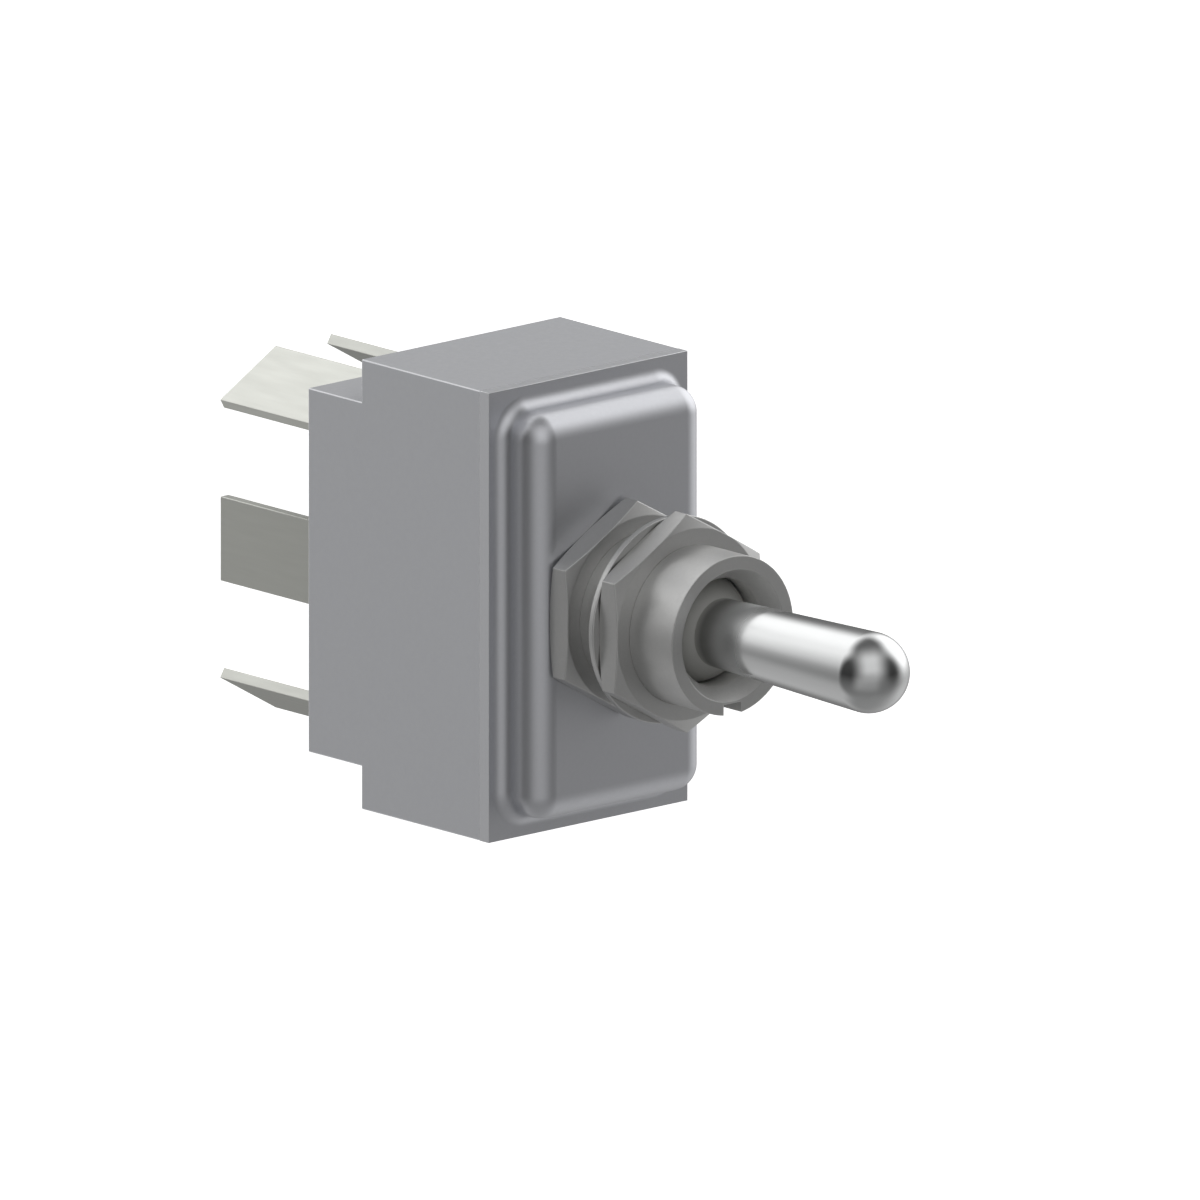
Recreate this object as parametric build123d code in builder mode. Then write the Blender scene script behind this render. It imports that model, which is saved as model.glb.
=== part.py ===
from build123d import *
from math import atan2, cos, radians, sin, sqrt, tan
import os

# Panel toggle switch, two poles, on - off - on. Millimetres.
# X runs to the right as seen from the front, Y runs from the lever back to the terminals, Z is up.
# The origin is on the bushing axis, on the front of the raised boss, where the panel hardware seats.

# Housing
case_width = 19.53
block_height = 33.91
block_depth = 13.97
step_drop = 3.24
step_depth = 5.84
side_wall = 1.3
end_wall = 2.9
back_wall = 2.6
ledge_wall = 1.3
step_end_wall = 1.5
barrier_thickness = 1.2
barrier_depth = 6.7

# Cover plate, drawn from sheet
sheet = 1.0
boss_side_rim = 1.385
boss_end_rim = 1.705
boss_rise = 3.75
boss_corner = 2.0
boss_edge_radius = 1.93
boss_base_radius = 1.0
tongue_width = 6.0
tongue_length = 5.0
tongue_wall = 0.6
tongue_clearance = 0.05

# Bushing and its hardware
bushing_radius = 5.953
bushing_length = 12.09
mouth_radius = 4.95
mouth_depth = 1.45
throat_radius = 4.06
flange_radius = 6.4
flange_thickness = 1.2
keyway_width = 1.73
keyway_depth = 0.86
keyway_length = 11.0
nut_flats = 14.29
nut_thickness = 2.0
nut_corner_drop = 0.36
thread_clearance = 0.03
front_nut_gap = 3.43
washer_radius = 7.75
washer_thickness = 0.5
washer_band = 0.85
washer_tooth_gap = 1.5
washer_teeth = 12

# Toggle lever
pivot_depth = 4.84
ball_radius = 4.35
ball_clearance = 0.08
lever_length = 17.96
lever_mouth_radius = 2.6
lever_tip_radius = 3.02
tail_radius = 1.9
pin_radius = 0.8
pin_length = 10.2
pin_clearance = 0.05

# Actuator block and its two sprung plungers
actuator_front = 4.0
actuator_hub_width = 7.4
actuator_hub_length = 2.4
actuator_wall = 0.85
actuator_height = 6.0
actuator_corner = 1.0
actuator_length = 6.6
tail_socket = 6.0
plunger_radius = 1.6
plunger_clearance = 0.05
plunger_length = 6.5
plunger_socket_radius = 1.1
plunger_socket_depth = 3.6
plunger_bore_depth = 5.6
spring_radius = 0.8
spring_wire_radius = 0.16
spring_turns = 4

# Blade terminals
tab_width = 6.35
tab_thickness = 0.8
tab_length = 11.44
shank_width = 5.0
end_tab_inset = 0.1
end_tab_rim = 1.995
end_tab_tilt = 30.0
middle_tab_gap = 0.315
ear_spacing = 4.8
pad_length = 3.8

# Contacts
contact_inset = 2.22
contact_radius = 1.2
contact_shank_radius = 0.6
fixed_contact_height = 0.7
moving_contact_height = 0.7
moving_contact_flat = 0.4
moving_contact_crown = 0.15
rivet_head_radius = 0.95
rivet_head_height = 0.3
contact_gap = 1.1

# Rockers
rocker_thickness = 0.8
rocker_side_gap = 0.15
rocker_dish_radius = 12.6
rocker_slope = 1.7
rocker_pad_inner = 1.6
rocker_pad_outer = 2.0
rocker_dish_sink = 0.34
lug_width = 1.0
lug_end_gap = 0.1
lug_clearance = 0.04
ear_width = 3.6
ear_rise = 0.7
plunger_gap = 0.08

# Depths along Y that follow from the sizes above
rim_y = boss_rise
case_front_y = rim_y + sheet
block_back_y = rim_y + block_depth
step_back_y = block_back_y + step_depth
floor_y = step_back_y - back_wall
ledge_y = block_back_y - ledge_wall
bushing_end_y = -bushing_length
flange_back_y = sheet + flange_thickness
pivot_y = bushing_end_y + pivot_depth
pad_front_y = floor_y - tab_thickness
fixed_contact_y = pad_front_y - fixed_contact_height
moving_contact_y = fixed_contact_y - contact_gap
rocker_pad_back_y = moving_contact_y - moving_contact_height
rocker_pad_front_y = rocker_pad_back_y - rocker_thickness
rocker_front_y = rocker_pad_front_y + rocker_dish_sink
rocker_pivot_y = rocker_front_y + rocker_thickness / 2
plunger_tip_y = rocker_front_y - plunger_gap
plunger_back_y = plunger_tip_y - plunger_length
crosshead_front_y = actuator_front + actuator_hub_length
actuator_back_y = crosshead_front_y + actuator_length
plunger_bore_y = actuator_back_y - plunger_bore_depth
tail_end_y = actuator_front + tail_socket
tongue_z = block_height / 2 - tongue_wall - sheet / 2

# Places across and up that follow from the housing's width and height
step_height = block_height - 2 * step_drop
hollow_width = case_width - 2 * side_wall
boss_width = case_width - 2 * boss_side_rim
boss_height = block_height - 2 * boss_end_rim
middle_tab_across = hollow_width / 2 - middle_tab_gap - tab_thickness / 2
pole_x = middle_tab_across - ear_spacing / 2
actuator_width = 2 * (pole_x + plunger_radius + actuator_wall)
end_tab_across = pole_x - end_tab_inset
end_tab_up = step_height / 2 - end_tab_rim
contact_up = end_tab_up - contact_inset
rocker_pad_start = contact_up - rocker_pad_inner
rocker_dish_reach = rocker_pad_start - rocker_slope


def across(y):
    """A plane square to the bushing axis at depth y. Its local axes are X and Z, and it extrudes forwards."""
    return Plane.XZ.offset(-y)


def save(piece, name):
    piece.part.label = name
    export_step(piece.part, f"parts/{name}.step")


def tab_plane(y, side, end):
    """A plane across one of the tilted end tabs, with its local X along the blade's width."""
    centre = (side * end_tab_across, y, end * end_tab_up)
    slope = (side * cos(radians(end_tab_tilt)), 0, -end * sin(radians(end_tab_tilt)))
    return Plane(origin=centre, x_dir=slope, z_dir=(0, -1, 0))


# Moulded case: a deep block with a shallower step behind, hollow, with a barrier between the poles
with BuildPart() as case:
    with BuildSketch(across(block_back_y)):
        Rectangle(case_width, block_height)
    extrude(amount=block_back_y - case_front_y)
    with BuildSketch(across(step_back_y)):
        Rectangle(case_width, step_height)
    extrude(amount=step_depth)
    with BuildSketch(across(ledge_y)):
        Rectangle(hollow_width, block_height - 2 * end_wall)
    extrude(amount=ledge_y - case_front_y, mode=Mode.SUBTRACT)
    with BuildSketch(across(floor_y)):
        Rectangle(hollow_width, step_height - 2 * step_end_wall)
    extrude(amount=floor_y - ledge_y, mode=Mode.SUBTRACT)
    with BuildSketch(across(floor_y)):
        Rectangle(barrier_thickness, step_height - 2 * step_end_wall)
    extrude(amount=barrier_depth)
    with BuildSketch(across(case_front_y + tongue_length + tongue_clearance)):
        with Locations((0, tongue_z), (0, -tongue_z)):
            Rectangle(tongue_width + 2 * tongue_clearance, sheet + 2 * tongue_clearance)
    extrude(amount=tongue_length + tongue_clearance, mode=Mode.SUBTRACT)
    for side in (-1, 1):
        with BuildSketch(across(step_back_y)):
            with Locations((side * middle_tab_across, 0)):
                Rectangle(tab_thickness, shank_width)
        extrude(amount=back_wall, mode=Mode.SUBTRACT)
        for end in (-1, 1):
            with BuildSketch(tab_plane(step_back_y, side, end)):
                Rectangle(shank_width, tab_thickness)
            extrude(amount=step_back_y - pad_front_y, mode=Mode.SUBTRACT)
            with BuildSketch(tab_plane(floor_y, side, end)):
                with Locations((0, -side * end * (pad_length - tab_thickness) / 2)):
                    Rectangle(shank_width, pad_length)
            extrude(amount=tab_thickness, mode=Mode.SUBTRACT)
save(case, "case")

# Cover plate: sheet with a drawn boss, a hole for the bushing and a tongue into each end of the case
with BuildPart() as cover_plate:
    with BuildSketch(across(case_front_y)):
        Rectangle(case_width, block_height)
    extrude(amount=sheet)
    with BuildSketch(across(case_front_y)):
        RectangleRounded(boss_width, boss_height, boss_corner)
    extrude(amount=case_front_y)
    fillet(cover_plate.faces().sort_by(Axis.Y)[0].edges(), boss_edge_radius)
    rim = cover_plate.faces().filter_by(Plane.XZ).sort_by(Axis.Y)[1]
    fillet(rim.inner_wires()[0].edges(), boss_base_radius)
    with BuildSketch(across(case_front_y)):
        RectangleRounded(boss_width - 2 * sheet, boss_height - 2 * sheet, boss_corner - sheet)
    extrude(amount=case_front_y - sheet, mode=Mode.SUBTRACT)
    web_back = cover_plate.faces().filter_by(Plane.XZ).sort_by(Axis.Y)[1]
    fillet(web_back.edges(), boss_edge_radius - sheet)
    with BuildSketch(across(sheet)):
        Circle(bushing_radius)
    extrude(amount=sheet, mode=Mode.SUBTRACT)
    with BuildSketch(across(case_front_y + tongue_length)):
        with Locations((0, tongue_z), (0, -tongue_z)):
            Rectangle(tongue_width, sheet)
    extrude(amount=tongue_length)
save(cover_plate, "cover_plate")

# Bushing: turned, with a flange behind the cover, a seat for the lever's ball and a conical mouth
seat_radius = ball_radius + ball_clearance
seat_front_y = pivot_y - sqrt(seat_radius**2 - throat_radius**2)
seat_turn = radians(12)
with BuildPart() as bushing:
    with BuildSketch(Plane.XY):
        with BuildLine():
            Polyline(
                (seat_radius, pivot_y),
                (seat_radius, flange_back_y),
                (flange_radius, flange_back_y),
                (flange_radius, sheet),
                (bushing_radius, sheet),
                (bushing_radius, bushing_end_y),
                (mouth_radius, bushing_end_y),
                (throat_radius, bushing_end_y + mouth_depth),
                (throat_radius, seat_front_y),
            )
            ThreePointArc(
                (throat_radius, seat_front_y),
                (seat_radius * cos(seat_turn), pivot_y - seat_radius * sin(seat_turn)),
                (seat_radius, pivot_y),
            )
        make_face()
    revolve(axis=Axis.Y)
    groove_half = pin_radius + pin_clearance
    with BuildSketch(Plane.YZ):
        with Locations((pivot_y, 0)):
            Circle(groove_half)
        with Locations(((pivot_y + flange_back_y) / 2, 0)):
            Rectangle(flange_back_y - pivot_y, 2 * groove_half)
    extrude(amount=pin_length / 2 + pin_clearance, both=True, mode=Mode.SUBTRACT)
    with BuildSketch(across(bushing_end_y + keyway_length)):
        with Locations((0, -bushing_radius)):
            Rectangle(keyway_width, 2 * keyway_depth)
    extrude(amount=keyway_length, mode=Mode.SUBTRACT)
save(bushing, "bushing")


def hex_nut(back_y):
    """A hexagon nut with both faces chamfered, points up and down, its back face at depth back_y."""
    corner_radius = nut_flats / 2 / cos(radians(30))
    bore = bushing_radius + thread_clearance
    front_y = back_y - nut_thickness
    with BuildPart() as nut:
        with BuildSketch(across(back_y)):
            RegularPolygon(nut_flats / 2, 6, major_radius=False, rotation=90)
        extrude(amount=nut_thickness)
        with BuildSketch(Plane.XY):
            with BuildLine():
                Polyline(
                    (bore, back_y),
                    (nut_flats / 2, back_y),
                    (corner_radius, back_y - nut_corner_drop),
                    (corner_radius, front_y + nut_corner_drop),
                    (nut_flats / 2, front_y),
                    (bore, front_y),
                    close=True,
                )
            make_face()
        revolve(axis=Axis.Y, mode=Mode.INTERSECT)
    return nut


# Two thin nuts clamp a panel between them, with the washer under the front one
front_nut_back_y = -nut_thickness - front_nut_gap
save(hex_nut(0), "rear_nut")
save(hex_nut(front_nut_back_y), "front_nut")

# Lock washer with inner teeth that reach to the bushing
with BuildPart() as lock_washer:
    with BuildSketch(across(front_nut_back_y + washer_thickness)):
        Circle(washer_radius)
        Circle(bushing_radius + 2 * thread_clearance, mode=Mode.SUBTRACT)
        tooth_root = washer_radius - washer_band
        with PolarLocations((tooth_root + bushing_radius) / 2, washer_teeth):
            Rectangle(tooth_root - bushing_radius, washer_tooth_gap, mode=Mode.SUBTRACT)
    extrude(amount=washer_thickness)
save(lock_washer, "lock_washer")

# Toggle lever: a turned bat with a ball at its pivot and a tail that works the actuator
lever_tip_y = bushing_end_y - lever_length
tip_centre_y = lever_tip_y + lever_tip_radius
lever_taper = (lever_tip_radius - lever_mouth_radius) / (bushing_end_y - tip_centre_y)
root_radius = lever_mouth_radius - lever_taper * (pivot_depth - sqrt(ball_radius**2 - lever_mouth_radius**2))
ball_front_y = pivot_y - sqrt(ball_radius**2 - root_radius**2)
ball_back_y = pivot_y + sqrt(ball_radius**2 - tail_radius**2)
tip_turn = radians(45)
with BuildPart() as toggle_lever:
    with BuildSketch(Plane.XY):
        with BuildLine():
            ThreePointArc(
                (0, lever_tip_y),
                (lever_tip_radius * sin(tip_turn), tip_centre_y - lever_tip_radius * cos(tip_turn)),
                (lever_tip_radius, tip_centre_y),
            )
            Line((lever_tip_radius, tip_centre_y), (root_radius, ball_front_y))
            ThreePointArc((root_radius, ball_front_y), (ball_radius, pivot_y), (tail_radius, ball_back_y))
            Polyline((tail_radius, ball_back_y), (tail_radius, tail_end_y), (0, tail_end_y), (0, lever_tip_y))
        make_face()
    revolve(axis=Axis.Y)
    with BuildSketch(Plane.YZ):
        with Locations((pivot_y, 0)):
            Circle(pin_radius)
    extrude(amount=ball_radius, both=True, mode=Mode.SUBTRACT)
save(toggle_lever, "toggle_lever")

# Pivot pin, pressed across the ball, its ends in the grooves of the bushing
with BuildPart() as pivot_pin:
    with BuildSketch(Plane.YZ):
        with Locations((pivot_y, 0)):
            Circle(pin_radius)
    extrude(amount=pin_length / 2, both=True)
save(pivot_pin, "pivot_pin")

# Actuator: a moulded crosshead pressed on the lever's tail, with a bore for each pole's plunger
with BuildPart() as actuator:
    with BuildSketch(across(crosshead_front_y)):
        RectangleRounded(actuator_hub_width, actuator_height, actuator_corner)
    extrude(amount=actuator_hub_length)
    with BuildSketch(across(actuator_back_y)):
        RectangleRounded(actuator_width, actuator_height, actuator_corner)
    extrude(amount=actuator_length)
    with BuildSketch(across(tail_end_y)):
        Circle(tail_radius)
    extrude(amount=tail_socket, mode=Mode.SUBTRACT)
    with BuildSketch(across(actuator_back_y)):
        with Locations((pole_x, 0), (-pole_x, 0)):
            Circle(plunger_radius + plunger_clearance)
    extrude(amount=plunger_bore_depth, mode=Mode.SUBTRACT)
save(actuator, "actuator")


def plunger(x):
    """A round-nosed plunger with a socket in its back for the spring."""
    socket_y = plunger_back_y + plunger_socket_depth
    nose_y = plunger_tip_y - plunger_radius
    nose_turn = radians(45)
    with BuildPart() as piece:
        with BuildSketch(Plane.XY):
            with BuildLine():
                Polyline(
                    (x, plunger_tip_y),
                    (x, socket_y),
                    (x + plunger_socket_radius, socket_y),
                    (x + plunger_socket_radius, plunger_back_y),
                    (x + plunger_radius, plunger_back_y),
                    (x + plunger_radius, nose_y),
                )
                ThreePointArc(
                    (x + plunger_radius, nose_y),
                    (x + plunger_radius * sin(nose_turn), nose_y + plunger_radius * cos(nose_turn)),
                    (x, plunger_tip_y),
                )
            make_face()
        revolve(axis=Axis((x, 0, 0), (0, 1, 0)))
    return piece


def plunger_spring(x):
    """A coil spring between the blind end of the actuator's bore and the end of the plunger's socket."""
    wire = spring_wire_radius
    start_y = plunger_bore_y + wire
    height = plunger_back_y + plunger_socket_depth - wire - start_y
    coil = Helix(height / spring_turns, height, spring_radius, center=(x, start_y, 0), direction=(0, 1, 0))
    with BuildPart() as piece:
        with BuildSketch(Plane(origin=coil @ 0, z_dir=coil % 0)):
            RegularPolygon(wire, 4)
        sweep(path=coil, is_frenet=True)
    return piece


# A pole's contact strip runs between the two ears of its middle terminal
strip_width = ear_spacing - tab_thickness - 2 * rocker_side_gap
notch_radius = sqrt(lug_width**2 + rocker_thickness**2) / 2 + lug_clearance


def rocker(x):
    """A pressed contact strip: a dish for the plunger, a flat pad at each end and two lugs to rock on."""
    back_radius = rocker_dish_radius + rocker_thickness
    dish_centre_y = rocker_front_y - rocker_dish_radius
    end_z = contact_up + rocker_pad_outer
    front_crest_y = dish_centre_y + sqrt(rocker_dish_radius**2 - rocker_dish_reach**2)
    back_crest_y = dish_centre_y + sqrt(back_radius**2 - rocker_dish_reach**2)
    bend = atan2(rocker_pad_front_y - front_crest_y, rocker_pad_start - rocker_dish_reach)
    back_pad_start = rocker_pad_start - rocker_thickness * tan(bend / 2)
    lug_reach = (ear_spacing + tab_thickness - strip_width) / 2 - lug_end_gap
    with BuildPart() as piece:
        with BuildSketch(Plane.YZ.offset(x - strip_width / 2)):
            with BuildLine():
                ThreePointArc(
                    (front_crest_y, -rocker_dish_reach),
                    (rocker_front_y, 0),
                    (front_crest_y, rocker_dish_reach),
                )
                Polyline(
                    (front_crest_y, rocker_dish_reach),
                    (rocker_pad_front_y, rocker_pad_start),
                    (rocker_pad_front_y, end_z),
                    (rocker_pad_back_y, end_z),
                    (rocker_pad_back_y, back_pad_start),
                    (back_crest_y, rocker_dish_reach),
                )
                ThreePointArc(
                    (back_crest_y, rocker_dish_reach),
                    (rocker_front_y + rocker_thickness, 0),
                    (back_crest_y, -rocker_dish_reach),
                )
                Polyline(
                    (back_crest_y, -rocker_dish_reach),
                    (rocker_pad_back_y, -back_pad_start),
                    (rocker_pad_back_y, -end_z),
                    (rocker_pad_front_y, -end_z),
                    (rocker_pad_front_y, -rocker_pad_start),
                    (front_crest_y, -rocker_dish_reach),
                )
            make_face()
        extrude(amount=strip_width)
        for turn in (-1, 1):
            with BuildSketch(Plane.YZ.offset(x + turn * strip_width / 2)):
                with Locations((rocker_pivot_y, 0)):
                    Rectangle(rocker_thickness, lug_width)
            extrude(amount=turn * lug_reach)
        with BuildSketch(across(rocker_pad_back_y)):
            with Locations((x, contact_up), (x, -contact_up)):
                Circle(contact_shank_radius)
        extrude(amount=rocker_thickness, mode=Mode.SUBTRACT)
    return piece


def moving_contact(x, z):
    """A silver contact rivet through the pad of a rocker, with a crowned face towards the terminal."""
    with BuildPart() as piece:
        with BuildSketch(Plane.XY.offset(z)):
            with BuildLine():
                Polyline(
                    (x, moving_contact_y),
                    (x, rocker_pad_front_y - rivet_head_height),
                    (x + rivet_head_radius, rocker_pad_front_y - rivet_head_height),
                    (x + rivet_head_radius, rocker_pad_front_y),
                    (x + contact_shank_radius, rocker_pad_front_y),
                    (x + contact_shank_radius, rocker_pad_back_y),
                    (x + contact_radius, rocker_pad_back_y),
                    (x + contact_radius, moving_contact_y - moving_contact_crown),
                    (x + moving_contact_flat, moving_contact_y),
                    close=True,
                )
            make_face()
        revolve(axis=Axis((x, 0, z), (0, 1, 0)))
    return piece


def fixed_contact(x, z):
    """A flat silver contact rivet through the pad of an end terminal."""
    with BuildPart() as piece:
        with BuildSketch(Plane.XY.offset(z)):
            with BuildLine():
                Polyline(
                    (x, fixed_contact_y),
                    (x + contact_radius, fixed_contact_y),
                    (x + contact_radius, pad_front_y),
                    (x + contact_shank_radius, pad_front_y),
                    (x + contact_shank_radius, floor_y),
                    (x, floor_y),
                    close=True,
                )
            make_face()
        revolve(axis=Axis((x, 0, z), (0, 1, 0)))
    return piece


def end_terminal(side, end):
    """A tilted blade, moulded into the case by its narrower shank, with a pad inside for the fixed contact."""
    inwards = -side * end
    with BuildPart() as piece:
        with BuildSketch(tab_plane(step_back_y + tab_length, side, end)):
            Rectangle(tab_width, tab_thickness)
        extrude(amount=tab_length)
        with BuildSketch(tab_plane(step_back_y, side, end)):
            Rectangle(shank_width, tab_thickness)
        extrude(amount=step_back_y - pad_front_y)
        with BuildSketch(tab_plane(floor_y, side, end)):
            with Locations((0, inwards * (pad_length - tab_thickness) / 2)):
                Rectangle(shank_width, pad_length)
        extrude(amount=tab_thickness)
        with BuildSketch(across(floor_y)):
            with Locations((side * pole_x, end * contact_up)):
                Circle(contact_shank_radius)
        extrude(amount=tab_thickness, mode=Mode.SUBTRACT)
    return piece


def middle_terminal(side):
    """An upright blade whose inner end is a cradle: a pad with two notched ears for the rocker's lugs."""
    ear_front_y = rocker_pivot_y - ear_rise
    with BuildPart() as piece:
        with BuildSketch(across(step_back_y + tab_length)):
            with Locations((side * middle_tab_across, 0)):
                Rectangle(tab_thickness, tab_width)
        extrude(amount=tab_length)
        with BuildSketch(across(step_back_y)):
            with Locations((side * middle_tab_across, 0)):
                Rectangle(tab_thickness, shank_width)
        extrude(amount=step_back_y - pad_front_y)
        with BuildSketch(across(floor_y)):
            with Locations((side * pole_x, 0)):
                Rectangle(ear_spacing + tab_thickness, shank_width)
        extrude(amount=tab_thickness)
        with BuildSketch(across(pad_front_y)):
            with Locations((side * pole_x, 0)):
                with GridLocations(ear_spacing, 0, 2, 1):
                    Rectangle(tab_thickness, ear_width)
        extrude(amount=pad_front_y - ear_front_y)
        with BuildSketch(Plane.YZ.offset(side * pole_x)):
            with Locations((rocker_pivot_y, 0)):
                Circle(notch_radius)
            with Locations((rocker_pivot_y - ear_rise / 2, 0)):
                Rectangle(ear_rise, 2 * notch_radius)
        extrude(amount=ear_spacing / 2 + tab_thickness, both=True, mode=Mode.SUBTRACT)
    return piece


# Each pole has its own plunger, spring, rocker, contacts and three terminals
for side_name, side in (("left", -1), ("right", 1)):
    save(plunger(side * pole_x), f"plunger_{side_name}")
    save(plunger_spring(side * pole_x), f"plunger_spring_{side_name}")
    save(rocker(side * pole_x), f"rocker_{side_name}")
    save(middle_terminal(side), f"terminal_middle_{side_name}")
    for end_name, end in (("top", 1), ("bottom", -1)):
        save(moving_contact(side * pole_x, end * contact_up), f"moving_contact_{end_name}_{side_name}")
        save(fixed_contact(side * pole_x, end * contact_up), f"fixed_contact_{end_name}_{side_name}")
        save(end_terminal(side, end), f"terminal_{end_name}_{side_name}")
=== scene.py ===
from math import atan2, cos, pi, radians, sin, sqrt

import bmesh
import bpy
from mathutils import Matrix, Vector


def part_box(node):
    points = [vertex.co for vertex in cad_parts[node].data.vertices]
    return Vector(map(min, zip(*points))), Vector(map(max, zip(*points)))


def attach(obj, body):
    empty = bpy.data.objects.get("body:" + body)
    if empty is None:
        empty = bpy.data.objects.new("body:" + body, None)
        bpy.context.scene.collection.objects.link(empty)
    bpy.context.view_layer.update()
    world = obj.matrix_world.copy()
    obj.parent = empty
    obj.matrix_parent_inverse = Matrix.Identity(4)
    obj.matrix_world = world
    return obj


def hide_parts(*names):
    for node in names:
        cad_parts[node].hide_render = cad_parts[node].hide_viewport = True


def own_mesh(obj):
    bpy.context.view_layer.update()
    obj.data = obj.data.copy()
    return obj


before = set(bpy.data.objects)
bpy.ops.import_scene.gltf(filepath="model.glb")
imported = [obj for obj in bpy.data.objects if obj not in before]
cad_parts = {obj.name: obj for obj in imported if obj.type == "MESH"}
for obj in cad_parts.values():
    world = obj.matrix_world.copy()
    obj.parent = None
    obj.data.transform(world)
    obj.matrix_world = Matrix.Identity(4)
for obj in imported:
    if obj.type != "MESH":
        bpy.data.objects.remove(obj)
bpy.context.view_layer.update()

# Case.
# The insulating housing: one compression moulding in grey phenolic, a deep block with a shallower
# step behind, open in front, with a barrier between its two poles. Its edges are barely broken.
case_width = 19.53
block_height = 33.91
case_front = 4.75
block_back = 17.72
step_back = 23.56
step_height = 27.43
hollow_width = 16.93
hollow_height = 28.11
pocket_height = 24.43
ledge = 16.42
floor = 20.96
barrier_front = 14.26
barrier_thickness = 1.2
slot_width = 6.1
slot_thickness = 1.1
slot_depth = 5.05
tongue_height = 15.855
case_edge = 0.08
round_segments = 3
# Corners within same_place are taken for one, a pick reaches past its limit by slack, and points
# closer than weld, which is in metres, are merged.
same_place = 0.002
slack = 0.02
weld = 1e-6


def mm(*sizes):
    """Millimetres as Blender's metres."""
    return tuple(size / 1000 for size in sizes)


def start(add, **settings):
    """A primitive, alone selected, with its size and place put into its mesh."""
    bpy.ops.object.select_all(action="DESELECT")
    add(**settings)
    bpy.ops.object.transform_apply(location=True, rotation=True, scale=True)
    return bpy.context.object


def block(low, high):
    """A cube primitive stretched between two corners, in millimetres."""
    size = [b - a for a, b in zip(low, high)]
    middle = [(a + b) / 2 for a, b in zip(low, high)]
    return start(bpy.ops.mesh.primitive_cube_add, size=1, location=mm(*middle), scale=mm(*size))


def pick(piece, kind, test):
    """Selects only the verts, edges or faces whose lowest and highest corners pass the test.

    Both corners are in millimetres.
    """
    bpy.ops.mesh.select_mode(type=kind)
    bpy.ops.mesh.select_all(action="DESELECT")
    mesh = bmesh.from_edit_mesh(piece.data)
    for part in {"VERT": mesh.verts, "EDGE": mesh.edges, "FACE": mesh.faces}[kind]:
        corners = [part.co] if kind == "VERT" else [v.co for v in part.verts]
        low = Vector([min(c[i] for c in corners) for i in range(3)]) * 1000
        high = Vector([max(c[i] for c in corners) for i in range(3)]) * 1000
        part.select_set(bool(test(low, high)))
    mesh.select_flush_mode()
    bmesh.update_edit_mesh(piece.data)


def at(value, place):
    """Whether a corner's coordinate is at that place."""
    return abs(value - place) < same_place


def split(piece, test, axis, *places):
    """Cuts the faces that pass the test across, at these places on one axis."""
    normal = [float(i == axis) for i in range(3)]
    for place in places:
        pick(piece, "FACE", test)
        bpy.ops.mesh.bisect(plane_co=mm(*[n * place for n in normal]), plane_no=normal)


def pull(x, y, z):
    """Extrudes what is selected by that much."""
    bpy.ops.mesh.extrude_region_move(TRANSFORM_OT_translate={"value": mm(x, y, z)})


def merge_doubles():
    """Selects all of the mesh being edited, and merges the points that lie on each other."""
    bpy.ops.mesh.select_all(action="SELECT")
    bpy.ops.mesh.remove_doubles(threshold=weld)


def close_mesh():
    """Merges doubles, points the faces outwards and leaves edit mode."""
    bpy.ops.mesh.select_mode(type="VERT")
    merge_doubles()
    bpy.ops.mesh.normals_make_consistent(inside=False)
    bpy.ops.object.mode_set(mode="OBJECT")


def modify(piece, kind, **settings):
    """Adds a modifier to the piece and applies it."""
    bpy.ops.object.select_all(action="DESELECT")
    piece.select_set(True)
    bpy.context.view_layer.objects.active = piece
    bpy.ops.object.modifier_add(type=kind)
    modifier = piece.modifiers[-1]
    for name, value in settings.items():
        setattr(modifier, name, value)
    bpy.ops.object.modifier_apply(modifier=modifier.name)


def break_edges(piece, width, angle=40, leave=None, slot=-1):
    """Smooths the piece up to an angle, and rounds its sharper edges a little.

    Flat faces stay flat. Edges whose middle passes the test to leave them stay sharp, and the
    rounds may take a material slot of their own.
    """
    bpy.ops.object.select_all(action="DESELECT")
    piece.select_set(True)
    bpy.context.view_layer.objects.active = piece
    bpy.ops.object.shade_smooth_by_angle(angle=radians(angle))
    bpy.ops.object.mode_set(mode="EDIT")
    bpy.ops.mesh.select_mode(type="EDGE")
    bpy.ops.mesh.select_all(action="DESELECT")
    bpy.ops.mesh.edges_select_sharp(sharpness=radians(angle))
    if leave:
        mesh = bmesh.from_edit_mesh(piece.data)
        for edge in mesh.edges:
            middle = (edge.verts[0].co + edge.verts[1].co) / 2 * 1000
            if edge.select and leave(middle):
                edge.select_set(False)
        bmesh.update_edit_mesh(piece.data)
    bpy.ops.transform.edge_bevelweight(value=1)
    bpy.ops.mesh.select_mode(type="VERT")
    bpy.ops.object.mode_set(mode="OBJECT")
    modify(
        piece,
        "BEVEL",
        width=width / 1000,
        segments=round_segments,
        limit_method="WEIGHT",
        use_clamp_overlap=True,
        material=slot,
    )
    bpy.ops.object.shade_smooth_by_angle(angle=radians(angle))
    modify(piece, "WEIGHTED_NORMAL", keep_sharp=True)


def hex_colour(code):
    """An sRGB hex colour as linear red, green, blue and alpha."""
    levels = [int(code[i : i + 2], 16) / 255 for i in (0, 2, 4)]
    return [v / 12.92 if v <= 0.04045 else ((v + 0.055) / 1.055) ** 2.4 for v in levels] + [1.0]


def add_node(tree, kind, settings, links=()):
    """Adds a node. Settings are its properties or inputs, and links feed inputs from outputs."""
    node = tree.nodes.new(kind)
    for key, value in settings.items():
        if isinstance(key, int) or key in node.inputs:
            node.inputs[key].default_value = value
        else:
            setattr(node, key, value)
    for key, output in links:
        tree.links.new(output, node.inputs[key])
    return node


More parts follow.
